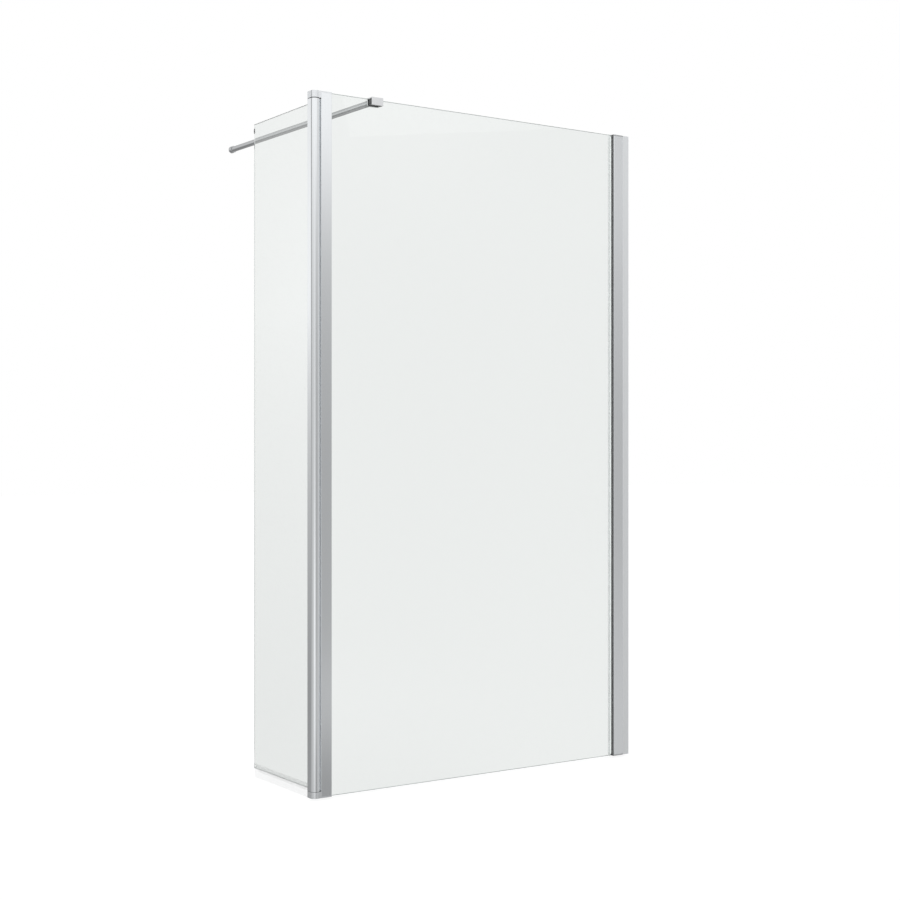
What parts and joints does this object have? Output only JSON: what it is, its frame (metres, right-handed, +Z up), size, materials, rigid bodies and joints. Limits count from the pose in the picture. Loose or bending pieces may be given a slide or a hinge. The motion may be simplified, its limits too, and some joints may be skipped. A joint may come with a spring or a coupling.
{
  "type": "hinged bath screen",
  "caption": "Framed-edge glass screen with a wall profile, a fixed pane, a hinged return side panel with a clear drip seal and a round support arm.",
  "frame": {"origin": "foot of the wall channel's back face, on the side wall, in the middle plane of the fixed pane", "axes": "+X into the side wall, so the fixed pane runs towards -X; +Y across the bath towards the far wall; +Z up from the bath rim"},
  "size_m": [0.8165, 0.6663, 1.4157],
  "materials": {
    "aluminium": "bright polished anodised",
    "glass": "clear toughened",
    "gasket": "matt",
    "grey_seal": "matt grey",
    "cap_plastic": "silver satin",
    "bracket_metal": "satin chrome",
    "steel": "stainless",
    "chrome": "polished chrome",
    "bush_plastic": "plain dark",
    "clear_seal": "clear soft plastic"
  },
  "bodies": {
    "screen": {"wall_channel": "aluminium", "glass_side_profile": "aluminium", "wall_gasket_outer": "gasket", "wall_gasket_inner": "clear_seal", "wall_bottom_cap": "cap_plastic", "wall_top_cap": "cap_plastic", "locking_screws": "steel", "locking_screw_covers": "cap_plastic", "main_glass": "glass", "post_channel": "aluminium", "post_gasket": "gasket", "hinge_seal": "grey_seal", "bottom_hinge_bracket": "bracket_metal", "top_hinge_bracket": "bracket_metal", "hinge_bracket_screws": "steel", "bottom_pivot_pin": "steel", "top_pivot_pin": "steel", "glass_clamp": "chrome", "clamp_pad_outer": "gasket", "clamp_pad_inner": "clear_seal", "clamp_grub_screws": "steel", "support_arm": "chrome", "arm_screw": "steel", "arm_wall_socket": "chrome", "arm_socket_screw": "steel"},
    "return_panel": {"return_profile": "aluminium", "bottom_hinge_bush": "bush_plastic", "top_hinge_bush": "bush_plastic", "return_gasket": "gasket", "return_glass": "glass", "drip_seal": "clear_seal", "edge_buffer": "grey_seal"}
  },
  "joints": [
    {"name": "return_hinge", "type": "hinge", "parent": "screen", "child": "return_panel", "pos_m": [-0.807, 0, 0], "axis": [0, 0, 1], "range_deg": [0, 180]}
  ]
}
